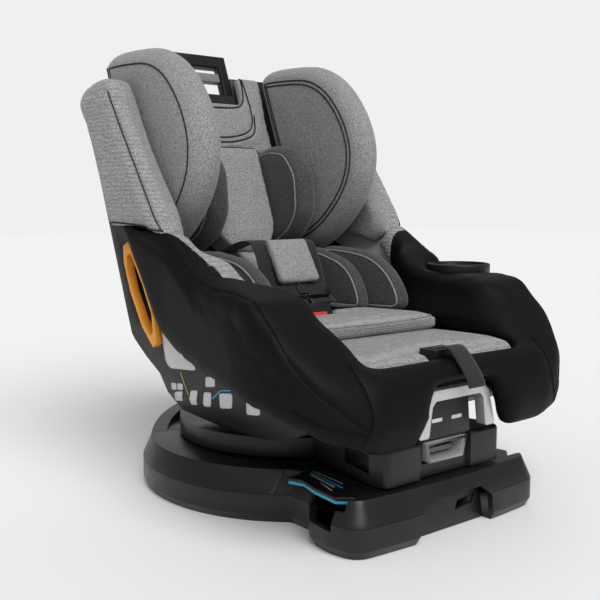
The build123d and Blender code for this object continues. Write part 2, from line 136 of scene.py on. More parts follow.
def plastic(name, colour, rough, grain=0.25, coat=0.0, metallic=0.0, specular=0.5):
    """Moulded plastic: fine grain, slight mottling, uneven gloss."""
    material, tree, shader, place = start_material(name, rough, metallic=metallic, coat=coat, specular=specular)
    large = textured(tree, "ShaderNodeTexNoise", place, "Fac", Scale=14, Detail=4)
    fine = textured(tree, "ShaderNodeTexNoise", place, "Fac", Scale=1300, Detail=2)
    pits = textured(tree, "ShaderNodeTexVoronoi", place, "Distance", Scale=900)
    colour = np.array(colour if hasattr(colour, "__len__") else (colour,) * 3)
    tone = ramp(tree, large, [(0.3, tuple(colour * 0.88)), (0.7, tuple(np.minimum(colour * 1.12, 1)))])
    tree.links.new(tone, shader.inputs["Base Color"])
    gloss = ramp(tree, large, [(0.3, rough * 0.9), (0.7, min(rough * 1.15, 1))])
    tree.links.new(gloss, shader.inputs["Roughness"])
    bump(tree, shader, [(fine, grain, 0.0002), (pits, grain * 0.8, 0.0002)])
    return material


def heather(name, dark, light, sheen=0.25, wavy=0.0, stitch=0.35):
    """Heathered knit: flecks of two greys, small stitches, and an optional wavy rib."""
    material, tree, shader, place = start_material(name, 0.92, sheen=sheen, specular=0.2)
    flecks = textured(tree, "ShaderNodeTexNoise", mapped(tree, place, (1, 1, 0.45)), "Fac", Scale=1000, Detail=3)
    slubs = textured(tree, "ShaderNodeTexNoise", mapped(tree, place, (1, 1, 3)), "Fac", Scale=130, Detail=3)
    tone = ramp(tree, flecks, [(0.36, dark), (0.64, light)])
    shade = ramp(tree, slubs, [(0.3, 0.82), (0.7, 1.0)])
    tone = mix(tree, tone, shade, 0.7)
    stitches = textured(tree, "ShaderNodeTexVoronoi", mapped(tree, place, (1, 1, 0.7)), "Distance", Scale=620)
    heights = [(stitches, stitch, 0.0006), (flecks, 0.3, 0.0004)]
    if wavy:
        wave = textured(tree, "ShaderNodeTexWave", mapped(tree, place, (0.5, 0.5, 1)), "Fac", Scale=58, Distortion=5,
                        Detail=2, bands_direction="Z", **{"Detail Scale": 3})
        tone = mix(tree, tone, ramp(tree, wave, [(0.15, 0.62), (0.6, 1.0)]), wavy)
        heights.append((wave, 0.55, 0.0009))
    tree.links.new(tone, shader.inputs["Base Color"])
    bump(tree, shader, heights)
    return material


def mesh_fabric(name, hole, thread, scale=330):
    """Open 3-D spacer mesh: round holes in rows."""
    material, tree, shader, place = start_material(name, 0.85, sheen=0.15, specular=0.25)
    cells = textured(tree, "ShaderNodeTexVoronoi", place, "Distance", Scale=scale, Randomness=0.25)
    fine = textured(tree, "ShaderNodeTexNoise", place, "Fac", Scale=1500, Detail=2)
    tone = ramp(tree, cells, [(0.22, hole), (0.42, thread)])
    tree.links.new(mix(tree, tone, ramp(tree, fine, [(0.3, 0.75), (0.7, 1.0)]), 0.6), shader.inputs["Base Color"])
    bump(tree, shader, [(cells, 0.7, 0.001), (fine, 0.25, 0.0003)])
    return material


def neoprene(name, colour):
    """Smooth black knit with a soft sheen."""
    material, tree, shader, place = start_material(name, 0.58, sheen=0.0, specular=0.14)
    fine = textured(tree, "ShaderNodeTexNoise", mapped(tree, place, (1, 1, 0.5)), "Fac", Scale=1500, Detail=2)
    large = textured(tree, "ShaderNodeTexNoise", place, "Fac", Scale=12, Detail=3)
    rows = textured(tree, "ShaderNodeTexVoronoi", place, "Distance", Scale=1000, Randomness=0.4)
    tone = ramp(tree, fine, [(0.3, colour * 0.7), (0.7, colour * 1.4)])
    tree.links.new(mix(tree, tone, ramp(tree, large, [(0.3, 0.8), (0.7, 1.0)]), 0.6), shader.inputs["Base Color"])
    bump(tree, shader, [(rows, 0.22, 0.0004), (fine, 0.15, 0.0003)])
    return material


def webbing(name, colour):
    """Woven strap: diagonal ribs and fine threads."""
    material, tree, shader, place = start_material(name, 0.7, sheen=0.2, specular=0.35)
    ribs = textured(tree, "ShaderNodeTexWave", place, "Fac", Scale=120, Distortion=0.6, bands_direction="DIAGONAL")
    threads = textured(tree, "ShaderNodeTexVoronoi", place, "Distance", Scale=900, Randomness=0.3)
    tone = ramp(tree, ribs, [(0.1, colour * 0.6), (0.6, colour * 1.3)])
    tree.links.new(tone, shader.inputs["Base Color"])
    bump(tree, shader, [(ribs, 0.6, 0.0007), (threads, 0.3, 0.0004)])
    return material


def metal(name, colour, rough):
    material, tree, shader, place = start_material(name, rough, metallic=0.9)
    brushed = textured(tree, "ShaderNodeTexNoise", mapped(tree, place, (1, 12, 12)), "Fac", Scale=60, Detail=4)
    tone = ramp(tree, brushed, [(0.3, colour * 0.85), (0.7, colour * 1.1)])
    tree.links.new(tone, shader.inputs["Base Color"])
    tree.links.new(ramp(tree, brushed, [(0.3, rough * 0.8), (0.7, rough * 1.25)]), shader.inputs["Roughness"])
    bump(tree, shader, [(brushed, 0.08, 0.0002)])
    return material


BASE = plastic("base_black", 0.0085, 0.36, grain=0.3, specular=0.42)
DARK = plastic("dark_trim", 0.006, 0.42, grain=0.35, specular=0.38)
SHELL = plastic("shell_black", 0.005, 0.5, grain=0.4, specular=0.32)
GLOSS = plastic("gloss_black", 0.010, 0.22, grain=0.05, coat=0.3)
ORANGE = plastic("orange_guide", (0.85, 0.33, 0.02), 0.38, grain=0.15)
BLUE = plastic("blue_guide", (0.02, 0.36, 0.62), 0.35, grain=0.1)
GREY = plastic("grey_moulding", 0.20, 0.45, grain=0.25)
LIGHT_GREY = plastic("light_grey_moulding", 0.33, 0.35, grain=0.12)
SILVER = plastic("silver_paint", 0.55, 0.3, grain=0.08, coat=0.3, metallic=0.55)
RED = plastic("red_button", (0.62, 0.03, 0.015), 0.3, grain=0.05, coat=0.3)
LABEL = plastic("label_film", 0.62, 0.45, grain=0.04)
LABEL_YELLOW = plastic("label_yellow", (0.75, 0.52, 0.03), 0.45, grain=0.04)
LABEL_DARK = plastic("label_dark", 0.03, 0.35, grain=0.04)
STEEL = metal("steel_tube", 0.55, 0.3)
RUBBER = plastic("rubber_black", 0.015, 0.85, grain=0.6)
FOAM = mesh_fabric("foam_cells", 0.5, 0.75, scale=700)
HEATHER = heather("heather_knit", 0.15, 0.43)
WAVY = heather("wavy_knit", 0.19, 0.50, wavy=0.55)
CHARCOAL = heather("charcoal_knit", 0.028, 0.105)
MESH = mesh_fabric("spacer_mesh", 0.012, 0.09)
MESH_GREY = mesh_fabric("spacer_mesh_grey", 0.08, 0.30)
BLACK = neoprene("black_cover", 0.0028)
PIPING = heather("piping_dark", 0.012, 0.04, sheen=0.1)
PIPING_GREY = heather("piping_grey", 0.16, 0.36, sheen=0.1)
THREAD = heather("thread_black", 0.002, 0.006, sheen=0.0)
STRAP = webbing("strap_webbing", 0.012)

FINISH = {
    "base_plastic": BASE, "dark_plastic": DARK, "shell_plastic": SHELL, "orange_plastic": ORANGE,
    "blue_plastic": BLUE, "grey_plastic": GREY, "silver_paint": SILVER, "red_plastic": RED, "steel": STEEL,
    "rubber": RUBBER, "foam": FOAM, "grey_fabric": HEATHER, "dark_fabric": CHARCOAL, "black_fabric": BLACK,
    "webbing": STRAP}


# ---------------------------------------------------------------- mesh helpers

def new_object(name, verts, faces, material):
    """verts in millimetres."""
    mesh = bpy.data.meshes.new(name)
    mesh.from_pydata([tuple(np.array(v) / 1000) for v in verts], [], faces)
    mesh.update()
    obj = bpy.data.objects.new(name, mesh)
    scene.collection.objects.link(obj)
    mesh.materials.append(material)
    mesh.polygons.foreach_set("use_smooth", [True] * len(mesh.polygons))
    return obj


def bake(obj):
    """Applies the object's modifiers."""
    graph = bpy.context.evaluated_depsgraph_get()
    materials = list(obj.data.materials)
    mesh = bpy.data.meshes.new_from_object(obj.evaluated_get(graph))
    obj.modifiers.clear()
    obj.data = mesh
    mesh.materials.clear()
    for material in materials:
        mesh.materials.append(material)
    mesh.polygons.foreach_set("use_smooth", [True] * len(mesh.polygons))
    return obj


def modify(obj, kind, **values):
    modifier = obj.modifiers.new(kind, kind)
    for name, value in values.items():
        setattr(modifier, name, value)
    return modifier


def coords(obj):
    co = np.zeros(len(obj.data.vertices) * 3)
    obj.data.vertices.foreach_get("co", co)
    return co.reshape(-1, 3)


def normals(obj):
    co = np.zeros(len(obj.data.vertices) * 3)
    obj.data.vertices.foreach_get("normal", co)
    return co.reshape(-1, 3)


def set_coords(obj, co):
    obj.data.vertices.foreach_set("co", np.asarray(co, float).ravel())
    obj.data.update()


def facing_out(obj):
    """Turns every face outwards."""
    bm = bmesh.new()
    bm.from_mesh(obj.data)
    bmesh.ops.recalc_face_normals(bm, faces=bm.faces)
    bm.to_mesh(obj.data)
    bm.free()


def tree_of(obj):
    bm = bmesh.new()
    bm.from_mesh(obj.data)
    found = BVHTree.FromBMesh(bm)
    bm.free()
    return found


def curve_points(points, step=2.0, closed=False):
    """A smooth curve (centripetal-like Catmull-Rom) through points, sampled every step."""
    p = [np.array(q, float) for q in points]
    if closed:
        p = [p[-1], *p, p[0], p[1]]
    else:
        p = [2 * p[0] - p[1], *p, 2 * p[-1] - p[-2]]
    out = []
    for i in range(1, len(p) - 2):
        count = max(2, int(np.linalg.norm(p[i + 1] - p[i]) / step))
        for k in range(count):
            u = k / count
            out.append(0.5 * ((2 * p[i]) + (-p[i - 1] + p[i + 1]) * u
                              + (2 * p[i - 1] - 5 * p[i] + 4 * p[i + 1] - p[i + 2]) * u * u
                              + (-p[i - 1] + 3 * p[i] - 3 * p[i + 1] + p[i + 2]) * u ** 3))
    if not closed:
        out.append(p[-2])
    return np.array(out)


def even(path, step, closed=False):
    """The path again with its points step apart."""
    q = np.vstack([path, path[:1]]) if closed else path
    run = np.concatenate([[0], np.cumsum(np.linalg.norm(np.diff(q, axis=0), axis=1))])
    count = max(4, int(run[-1] / step))
    at = np.linspace(0, run[-1], count, endpoint=not closed)
    return np.stack([np.interp(at, run, q[:, k]) for k in range(3)], axis=1)


def smoothed(path, passes, closed):
    for _ in range(passes):
        if closed:
            path = (np.roll(path, 1, 0) + 2 * path + np.roll(path, -1, 0)) / 4
        else:
            path[1:-1] = (path[:-2] + 2 * path[1:-1] + path[2:]) / 4
    return path


def laid(points, on, closed=False, cast=None, lift=0.0):
    """A curve brought onto the surface of an object: along cast if given, or else to the nearest point."""
    path = even(curve_points(points, closed=closed), 3.0, closed)
    surface = tree_of(on)
    for turn in range(2):
        out = []
        for p in path:
            if cast is not None and turn == 0:
                d = Vector(cast).normalized()
                hit, normal, _, _ = surface.ray_cast(Vector(p / 1000) - d * 0.3, d)
            else:
                hit, normal, _, _ = surface.find_nearest(Vector(p / 1000))
            if hit is None:
                continue
            out.append(np.array(hit) * 1000 + np.array(normal) * (lift if turn else 0))
        path = np.array(out)
        if turn == 0:
            path = smoothed(path, 3, closed)
    return path


def tube_mesh(path, radius, closed=False, sides=8):
    """Verts and faces of a tube along a path."""
    n = len(path)
    tangent = (np.roll(path, -1, 0) - np.roll(path, 1, 0)) if closed else np.gradient(path, axis=0)
    tangent /= np.linalg.norm(tangent, axis=1)[:, None] + 1e-9
    side = np.cross(tangent[0], (0.31, 0.2, 0.93))
    verts, faces = [], []
    for i in range(n):
        side = side - tangent[i] * np.dot(side, tangent[i])
        side /= np.linalg.norm(side) + 1e-9
        other = np.cross(tangent[i], side)
        for k in range(sides):
            a = 2 * math.pi * k / sides
            verts.append(path[i] + radius * (side * math.cos(a) + other * math.sin(a)))
    for i in range(n if closed else n - 1):
        for k in range(sides):
            a, b = i * sides, ((i + 1) % n) * sides
            faces.append((a + k, a + (k + 1) % sides, b + (k + 1) % sides, b + k))
    if not closed:
        faces.append(tuple(range(sides))[::-1])
        faces.append(tuple((n - 1) * sides + k for k in range(sides)))
    return verts, faces


def tubes(name, paths, radius, material, body, closed=False):
    verts, faces = [], []
    for path in paths:
        v, f = tube_mesh(np.array(path), radius, closed)
        faces += [tuple(i + len(verts) for i in face) for face in f]
        verts += v
    obj = new_object(name, verts, faces, material)
    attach(obj, body)
    return obj


def groove(obj, paths, width, depth):
    """Sinks the surface along seams."""
    points = np.vstack(paths) / 1000
    kd = KDTree(len(points))
    for i, p in enumerate(points):
        kd.insert(p, i)
    kd.balance()
    co, n = coords(obj), normals(obj)
    for i, c in enumerate(co):
        distance = kd.find(c)[2] * 1000
        if distance < 3 * width:
            co[i] = c - n[i] * depth / 1000 * math.exp(-(distance / width) ** 2)
    set_coords(obj, co)


def inflate(obj, pressure, cap, pins):
    """Cloth under pressure, then the movement capped."""
    rest = coords(obj)
    group = obj.vertex_groups.new(name="pins")
    if pins:
        points = np.vstack(pins) / 1000
        kd = KDTree(len(points))
        for i, p in enumerate(points):
            kd.insert(p, i)
        kd.balance()
        held = [i for i, c in enumerate(rest) if kd.find(c)[2] < 0.004]
        group.add(held, 1.0, "REPLACE")
    cloth = modify(obj, "CLOTH")
    s = cloth.settings
    s.quality = 4
    s.mass = 0.3
    s.tension_stiffness = s.compression_stiffness = 15
    s.shear_stiffness = 5
    s.bending_stiffness = 0.5
    s.use_pressure = True
    s.uniform_pressure_force = pressure
    s.effector_weights.gravity = 0
    if pins:
        s.vertex_group_mass = "pins"
        s.pin_stiffness = 1
    cloth.point_cache.frame_end = 20
    for number in range(1, 21):
        scene.frame_set(number)
    graph = bpy.context.evaluated_depsgraph_get()
    found = obj.evaluated_get(graph).to_mesh()
    moved = np.zeros(len(found.vertices) * 3)
    found.vertices.foreach_get("co", moved)
    move = moved.reshape(-1, 3) - rest
    size = np.linalg.norm(move, axis=1)[:, None] + 1e-12
    obj.modifiers.clear()
    obj.vertex_groups.clear()
    scene.frame_set(1)
    set_coords(obj, rest + move * np.minimum(1, cap / 1000 / size))


def soft(name, nodes, body, materials, pick=None, voxel=5.0, smooth=8, pressure=4.0, cap=4.0, seams=(),
         warp=None, swell=0.6):
    """A padded piece grown from CAD nodes: remeshed, rounded, inflated between its seams and subdivided.

    seams are (points, closed, cast) in millimetres. pick gives each face's material from its centre and normal.
    """
    bm = bmesh.new()
    for node in nodes:
        bm.from_mesh(CAD[node].data)
    bmesh.ops.remove_doubles(bm, verts=bm.verts, dist=1e-5)
    mesh = bpy.data.meshes.new(name)
    bm.to_mesh(mesh)
    bm.free()
    obj = bpy.data.objects.new(name, mesh)
    scene.collection.objects.link(obj)
    modify(obj, "REMESH", mode="VOXEL", voxel_size=voxel / 1000)
    modify(obj, "SMOOTH", factor=0.5, iterations=smooth)
    bake(obj)
    set_coords(obj, coords(obj) + normals(obj) * swell / 1000)
    if warp:
        set_coords(obj, warp(coords(obj) * 1000) / 1000)
    paths = [laid(points, obj, closed, cast) for points, closed, cast in seams]
    inflate(obj, pressure, cap, paths)
    modify(obj, "SUBSURF", levels=1, render_levels=1)
    bake(obj)
    paths = [laid(points, obj, closed, cast) for points, closed, cast in seams]
    if paths:
        groove(obj, paths, 3.0, 1.2)
    for material in materials:
        obj.data.materials.append(material)
    if pick:
        centre = np.array([p.center for p in obj.data.polygons]) * 1000
        normal = np.array([p.normal for p in obj.data.polygons])
        obj.data.polygons.foreach_set("material_index", pick(centre, normal).astype(np.int32))
    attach(obj, body)
    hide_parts(*nodes)
    return obj, paths


def inset(loop, distance):
    """A closed (y, z) loop moved inwards."""
    tangent = np.roll(loop, -1, 0) - np.roll(loop, 1, 0)
    normal = np.stack([tangent[:, 1], -tangent[:, 0]], axis=1)
    normal /= np.linalg.norm(normal, axis=1)[:, None] + 1e-9
    area = np.sum(loop[:, 0] * np.roll(loop[:, 1], -1) - np.roll(loop[:, 0], -1) * loop[:, 1])
    out = loop - normal * distance * (1 if area > 0 else -1)
    return smoothed(out, 6, True)


def petal(name, nodes, body, outline, x0, x1, sides, bulge, crown, materials, piping, radius, cap=4.0,
          count=100, rings=7, double=0):
    """A padded slab with a crowned edge band between two piped seams, one for each side named.

    x0 and x1 are the distances of its two faces from the middle; materials are for inner face, band, outer face.
    """
    loop = even(np.array([(0, y, z) for y, z in outline], float), 4.0, True)
    loop = even(curve_points(loop[::3], 4.0, True), 1.0, True)
    at = (np.arange(count) * len(loop) / count).astype(int)
    loop = smoothed(loop[at][:, 1:], 4, True)
    edge = inset(loop, bulge)
    centre = edge.mean(0)
    middle, half = (x0 + x1) / 2, (x1 - x0) / 2
    verts, faces, index, seams = [], [], [], []
    for side in sides:
        stack = []
        levels = [1 - k / rings for k in range(rings)]
        for f in levels[::-1]:
            stack.append((centre + (edge - centre) * f, x0 - crown * (1 - f ** 2.5)))
        angles = np.radians(np.linspace(-72, 72, 9))[1:-1]
        for a in angles:
            down = bulge * (1 - math.cos(a)) / (1 - math.cos(math.radians(72)))
            stack.append((inset(loop, down), middle + half * math.sin(a) / math.sin(math.radians(72))))
        for f in levels:
            stack.append((centre + (edge - centre) * f, x1 + crown * (1 - f ** 2.5)))
        start = len(verts)
        for ring_at, x in stack:
            verts += [(side * x, y, z) for y, z in ring_at]
        for r in range(len(stack) - 1):
            kind = 0 if r < rings - 1 else 2 if r >= rings + 7 else 1
            for k in range(count):
                a, b = start + r * count + k, start + r * count + (k + 1) % count
                face = (a, b, b + count, a + count)
                faces.append(face if side > 0 else face[::-1])
                index.append(kind)
        for r, x, kind in ((0, x0 - crown, 0), (len(stack) - 1, x1 + crown, 2)):
            verts.append((side * x, *centre))
            tip = len(verts) - 1
            for k in range(count):
                a, b = start + r * count + k, start + r * count + (k + 1) % count
                faces.append((a, b, tip) if (kind == 2) == (side > 0) else (b, a, tip))
                index.append(kind)
        seams += [np.array([(side * x0, y, z) for y, z in edge]), np.array([(side * x1, y, z) for y, z in edge])]
    obj = new_object(name, verts, faces, materials[0])
    for material in materials[1:]:
        obj.data.materials.append(material)
    obj.data.polygons.foreach_set("material_index", index)
    facing_out(obj)
    inflate(obj, 4, cap, seams)
    kept = list(obj.data.materials)
    modify(obj, "SUBSURF", levels=1, render_levels=1)
    bake(obj)
    obj.data.materials.clear()
    for material in kept:
        obj.data.materials.append(material)
    groove(obj, seams, 3.2, 1.0)
    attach(obj, body)
    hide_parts(*nodes)
    if double:
        seams += [np.array([(side * x0, y, z) for y, z in inset(edge, double)]) for side in sides]
    lines = [even(curve_points(laid(seam[::3], obj, True), 2.0, True), 3.0, True) for seam in seams]
    tubes(name + "_piping", lines, radius, piping, body, closed=True)
    return obj


def at_x(outline, x):
    return [(x, y, z) for y, z in outline]


def strap(path, low, high, thickness, across):
    """A slightly crowned ribbon: its width runs along axis 0 or 1, its path along the other and z."""
    line = np.zeros((len(path), 3))
    line[:, [1 - across, 2]] = path
    line = even(curve_points(line, 3.0), 4.0)
    tangent = np.gradient(line, axis=0)
    tangent /= np.linalg.norm(tangent, axis=1)[:, None]
    wide = np.eye(3)[across]
    up = np.cross(wide, tangent)
    half = (high - low) / 2
    places = np.linspace(-1, 1, 13)
    section = [(a * half, thickness / 2 * (1 - 0.55 * abs(a) ** 6)) for a in places]
    section += [(u, -v) for u, v in section[::-1]]
    m = len(section)
    verts = [line[i] + wide * ((low + high) / 2 + u) + up[i] * v for i in range(len(line)) for u, v in section]
    faces = [(i * m + k, i * m + (k + 1) % m, (i + 1) * m + (k + 1) % m, (i + 1) * m + k)
             for i in range(len(line) - 1) for k in range(m)]
    faces += [tuple(range(m))[::-1], tuple((len(line) - 1) * m + k for k in range(m))]
    return verts, faces


def decal(name, corners, cast, on, material, body, lift=0.35, rings=5):
    """A thin rounded patch laid on a CAD surface. Corners in millimetres, in order."""
    p = [np.array(c, float) for c in corners]
    loop = []
    for i in range(len(p)):
        a, b = p[i], p[(i + 1) % len(p)]
        loop += [a + (b - a) * f for f in (0.1, 0.3, 0.5, 0.7, 0.9)]
    for _ in range(2):
        loop = [q for i in range(len(loop)) for q in (0.75 * loop[i] + 0.25 * loop[(i + 1) % len(loop)],
                                                      0.25 * loop[i] + 0.75 * loop[(i + 1) % len(loop)])]
    loop = np.array(loop)
    centre = loop.mean(0)
    surface = tree_of(on)
    direction = Vector(cast).normalized()
    verts, faces = [], []
    for level in np.linspace(1, 0, rings + 1):
        for q in (centre + (loop - centre) * level if level else [centre]):
            hit, _, _, _ = surface.ray_cast(Vector(q / 1000) - direction * 0.3, direction)
            at = np.array(hit) * 1000 if hit is not None else None
            if at is None or np.linalg.norm(at - q) > 45:
                return None
            verts.append(at - np.array(direction) * lift)
    n = len(loop)
    for r in range(rings - 1):
        for k in range(n):
            faces.append((r * n + k, r * n + (k + 1) % n, (r + 1) * n + (k + 1) % n, (r + 1) * n + k))
    last = (rings - 1) * n
    faces += [(last + k, last + (k + 1) % n, len(verts) - 1) for k in range(n)]
    obj = new_object(name, verts, faces, material)
    modify(obj, "SOLIDIFY", thickness=0.0003, offset=0)
    bake(obj)
    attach(obj, body)
    return obj


# ---------------------------------------------------------------- hard parts kept from the CAD

node_slot = {entry["node"]: entry["material_slot"] for entry in frame["record"]["subparts"]}
SPECIAL = {"recline_bezel": LIGHT_GREY, "recline_handle": GREY, "front_panel": DARK, "turn_handle": SILVER,
           "block_windows": GLOSS, "cup_holder": DARK, "chest_clip": GLOSS, "clip_button": GLOSS,
           "headrest_grip": DARK, "headrest_lever": GREY, "buckle_housing": DARK, "harness_tongues": GLOSS}
ROUNDED = {"turntable_platform": 0.007, "base_front_cover": 0.007, "turn_handle": 0.005, "recline_bezel": 0.003,
           "base_pan": 0.003, "base_rear_cover": 0.004, "front_panel": 0.002}
for name, obj in CAD.items():
    material = SPECIAL.get(name) or FINISH.get(node_slot.get(name), DARK)
    for slot_item in obj.material_slots:
        slot_item.material = material
    if not obj.material_slots:
        obj.data.materials.append(material)
    obj.data.polygons.foreach_set("use_smooth", [True] * len(obj.data.polygons))
    modify(obj, "WELD", merge_threshold=0.00002)
    modify(obj, "BEVEL", width=ROUNDED.get(name, 0.0009), segments=4 if name in ROUNDED else 2, limit_method="ANGLE",
           angle_limit=math.radians(32), harden_normals=True, use_clamp_overlap=True)

# ---------------------------------------------------------------- black cover

COVER_SEAMS = [
    [(209, 2, 349), (213, -25, 334), (214, -49, 320), (216, -76, 305), (218, -101, 295), (222, -131, 289),
     (224, -159, 288), (225, -195, 284), (225, -221, 278), (224, -248, 253), (221, -274, 222), (208, -296, 196),
     (190, -311, 177), (175, -320, 163), (158, -327, 151)],
    [(156, -292, 217), (157, -308, 202), (156, -316, 193), (155, -321, 183), (154, -326, 171), (154, -328, 160),
     (157, -327, 150), (160, -325, 142), (165, -322, 136)],
    [(224, -276, 173), (216, -288, 165), (204, -301, 158), (187, -313, 152), (172, -322, 148), (159, -326, 146)]]
KNIT_EDGE = [(208, -2, 348), (201, -22, 341), (195, -42, 330), (191, -64, 316), (187, -85, 304), (189, -109, 296),
             (186, -122, 289), (172, -130, 280)]


def on_both_sides(lines):
    return [[(side * x, y, z) for x, y, z in line] for line in lines for side in (-1, 1)]


def knit_side(centre, normal):
    """The arm's inner side is knitted down to its lining seam."""
    edge = np.interp(-centre[:, 1], [2, 22, 42, 64, 85, 109, 124], [208, 201, 195, 191, 188, 187, 170])
    front = np.where(centre[:, 0] < 0, -126, -20)
    inside = (np.abs(centre[:, 0]) < edge) & (centre[:, 1] > front)
    return inside & (centre[:, 2] > 266 + 0.25 * (centre[:, 1] + 110))


def clear_of_handle(co):
    """Opens the arch over the turn handle, so that the handle can rise under the swollen cover."""
    reach = np.clip((92 - np.abs(co[:, 0])) / 12, 0, 1) * np.clip((198 - co[:, 2]) / 12, 0, 1)
    reach *= np.clip((-275 - co[:, 1]) / 10, 0, 1)
    away = co[:, [0, 2]] - (0, 120)
    away /= np.linalg.norm(away, axis=1)[:, None] + 1e-9
    co[:, [0, 2]] += 4.0 * away * reach[:, None]
    return co


cover, paths = soft("black_cover", ["arm_cover_left", "arm_cover_right", "front_cover"], "seat",
                    [BLACK, WAVY], pick=knit_side, voxel=5.0, smooth=45, pressure=2.5, cap=3.0,
                    seams=[(line, False, None) for line in on_both_sides(COVER_SEAMS)],
                    warp=clear_of_handle, swell=3.0)
paths.append(laid([(-x, y, z) for x, y, z in KNIT_EDGE], cover))
tubes("black_cover_seams", paths, 0.5, THREAD, "seat")

# ---------------------------------------------------------------- grey side covers

JOIN = [(-8, 349.5), (2, 350.5), (20, 353), (40, 356), (98, 359), (131, 359)]
RIM_SEAM = [(128, 534), (94, 484), (58, 434), (24, 386), (0, 352)]


def tuck(co):
    """Carries the cover's lower edge down over the black cover's."""
    co[:, 2] -= 9 * np.clip((372 - co[:, 2]) / 18, 0, 1)
    return co


for side, word in ((-1, "left"), (1, "right")):
    seams = [(at_x(RIM_SEAM, side * 213), False, (-side, 0, 0))]
    cover, paths = soft(f"grey_cover_{word}", [f"side_cover_{word}"], "seat", [WAVY, HEATHER],
                        pick=lambda c, n: (np.abs(c[:, 0]) < 196), voxel=4.5, smooth=16, pressure=3, cap=4,
                        seams=seams, swell=1.5, warp=tuck)
    tubes(f"grey_cover_seam_{word}", paths, 0.8, PIPING, "seat")
    tubes(f"grey_black_seam_{word}", [laid(at_x(JOIN, side * 215), cover, False, (-side, 0, 0), lift=0.5)], 1.3,
          PIPING, "seat")

# ---------------------------------------------------------------- headrest wings

WING = [(-14, 14), (-17, 60), (-8, 104), (12, 152), (42, 190), (86, 211), (132, 212), (176, 201), (214, 182),
        (248, 148), (270, 104), (288, 62), (300, 32), (296, 14), (285, 9), (220, 9), (140, 9), (60, 9), (0, 9)]
wing_line = [back(s, t) for s, t in WING]
for side, word in ((-1, "left"), (1, "right")):
    petal(f"wing_{word}", [f"headrest_wing_{word}"], "headrest", wing_line, 115, 165, [side], 23, 1.5,
          [HEATHER, HEATHER, WAVY], PIPING, 1.3, cap=5, count=120, double=6)

# ---------------------------------------------------------------- head pillow and headrest pad

def on_back(points, t):
    """Points (x, s) on the backrest as (x, y, z)."""
    return [(x, *back(s, t)) for x, s in points]


U_CUT = [(-76, 292), (-75, 262), (-70, 242), (-52, 232), (0, 230), (52, 232), (70, 242), (75, 262), (76, 292)]
U_LOW = [(-78, 284), (-82, 225), (-72, 195), (-40, 182), (0, 179), (40, 182), (72, 195), (82, 225), (78, 284)]
U_LOW2 = [(-86, 220), (-77, 188), (-42, 174), (0, 171), (42, 174), (77, 188), (86, 220)]
forward = (0, math.cos(TILT), -math.sin(TILT))
seams = [(on_back(line, 24), False, forward) for line in (U_CUT, U_LOW, U_LOW2)]
_, paths = soft("headrest_centre", ["headrest_pad"], "headrest", [HEATHER], voxel=4, smooth=6,
                pressure=4, cap=4, seams=seams)
tubes("headrest_centre_piping", paths, 1.1, PIPING, "headrest")


def round_lower_end(co):
    """Narrows the pillow's lower end."""
    s = (co[:, 1] - 150) * math.sin(TILT) + (co[:, 2] - 311) * math.cos(TILT)
    narrow = np.clip((38 - s) / 50, 0, 1) ** 2
    co[:, 0] *= 1 - 0.45 * narrow
    return co


edge_line = [(-54, 14), (-54, 60), (-54, 110), (-52, 147), (0, 150), (52, 147), (54, 110), (54, 60), (54, 14)]
_, paths = soft("pillow_middle", ["pillow_centre"], "headrest", [HEATHER], voxel=4.5, smooth=8,
                pressure=4, cap=5, warp=round_lower_end, seams=[(on_back(edge_line, 48), False, None)])
tubes("pillow_middle_piping", paths, 1.0, PIPING, "headrest")
BOLSTER = [(-8, 12), (-9, 40), (-4, 74), (20, 108), (80, 126), (126, 110), (148, 70), (151, 40), (150, 12), (70, 10)]
petal("head_bolsters", ["pillow_bolsters"], "headrest", [back(s, t) for s, t in BOLSTER], 60, 98,
      [-1, 1], 12, 1.0, [CHARCOAL, MESH, CHARCOAL], PIPING_GREY, 1.3)

# ---------------------------------------------------------------- seat pads and infant insert

soft("seat_pad", ["seat_pad"], "seat", [WAVY], voxel=5, smooth=8, pressure=3, cap=3)
soft("back_pad", ["back_pad"], "seat", [HEATHER], voxel=4, smooth=4, pressure=3, cap=2)
insert, _ = soft("body_insert", ["body_insert"], "seat", [WAVY, MESH_GREY],
                 pick=lambda c, n: (n[:, 2] < 0.35) & (c[:, 1] < -120), voxel=4, smooth=6, pressure=4, cap=3)
LIP = [(-112, -95, 237), (-111, -148, 238), (-98, -168, 237), (0, -172, 237), (98, -168, 237), (111, -148, 238),
       (112, -95, 237)]
tubes("body_insert_piping", [laid(LIP, insert, lift=0.4)], 1.3, PIPING_GREY, "seat")
INNER = [(95, 262), (98, 298), (61, 321), (17, 311), (-12, 303), (-34, 288), (-48, 266), (-55, 246), (-56, 233),
         (0, 231), (60, 230)]
OUTER = [(97, 262), (100, 298), (55, 321), (0, 319), (-46, 313), (-79, 296), (-100, 273), (-111, 250), (-112, 235),
         (-50, 232), (60, 230)]
petal("insert_bolsters_inner_padded", ["insert_bolsters_inner"], "seat", INNER, 79, 100, [-1, 1], 6,
      1.0, [CHARCOAL, MESH_GREY, CHARCOAL], PIPING_GREY, 1.5, cap=3)
petal("insert_bolsters_outer_padded", ["insert_bolsters_outer"], "seat", OUTER, 103, 126, [-1, 1], 6,
      1.0, [CHARCOAL, MESH_GREY, HEATHER], PIPING_GREY, 1.5, cap=3)
soft("chest_pad", ["chest_pad"], "seat", [HEATHER], voxel=3, smooth=6, pressure=4, cap=2)

# ---------------------------------------------------------------- straps

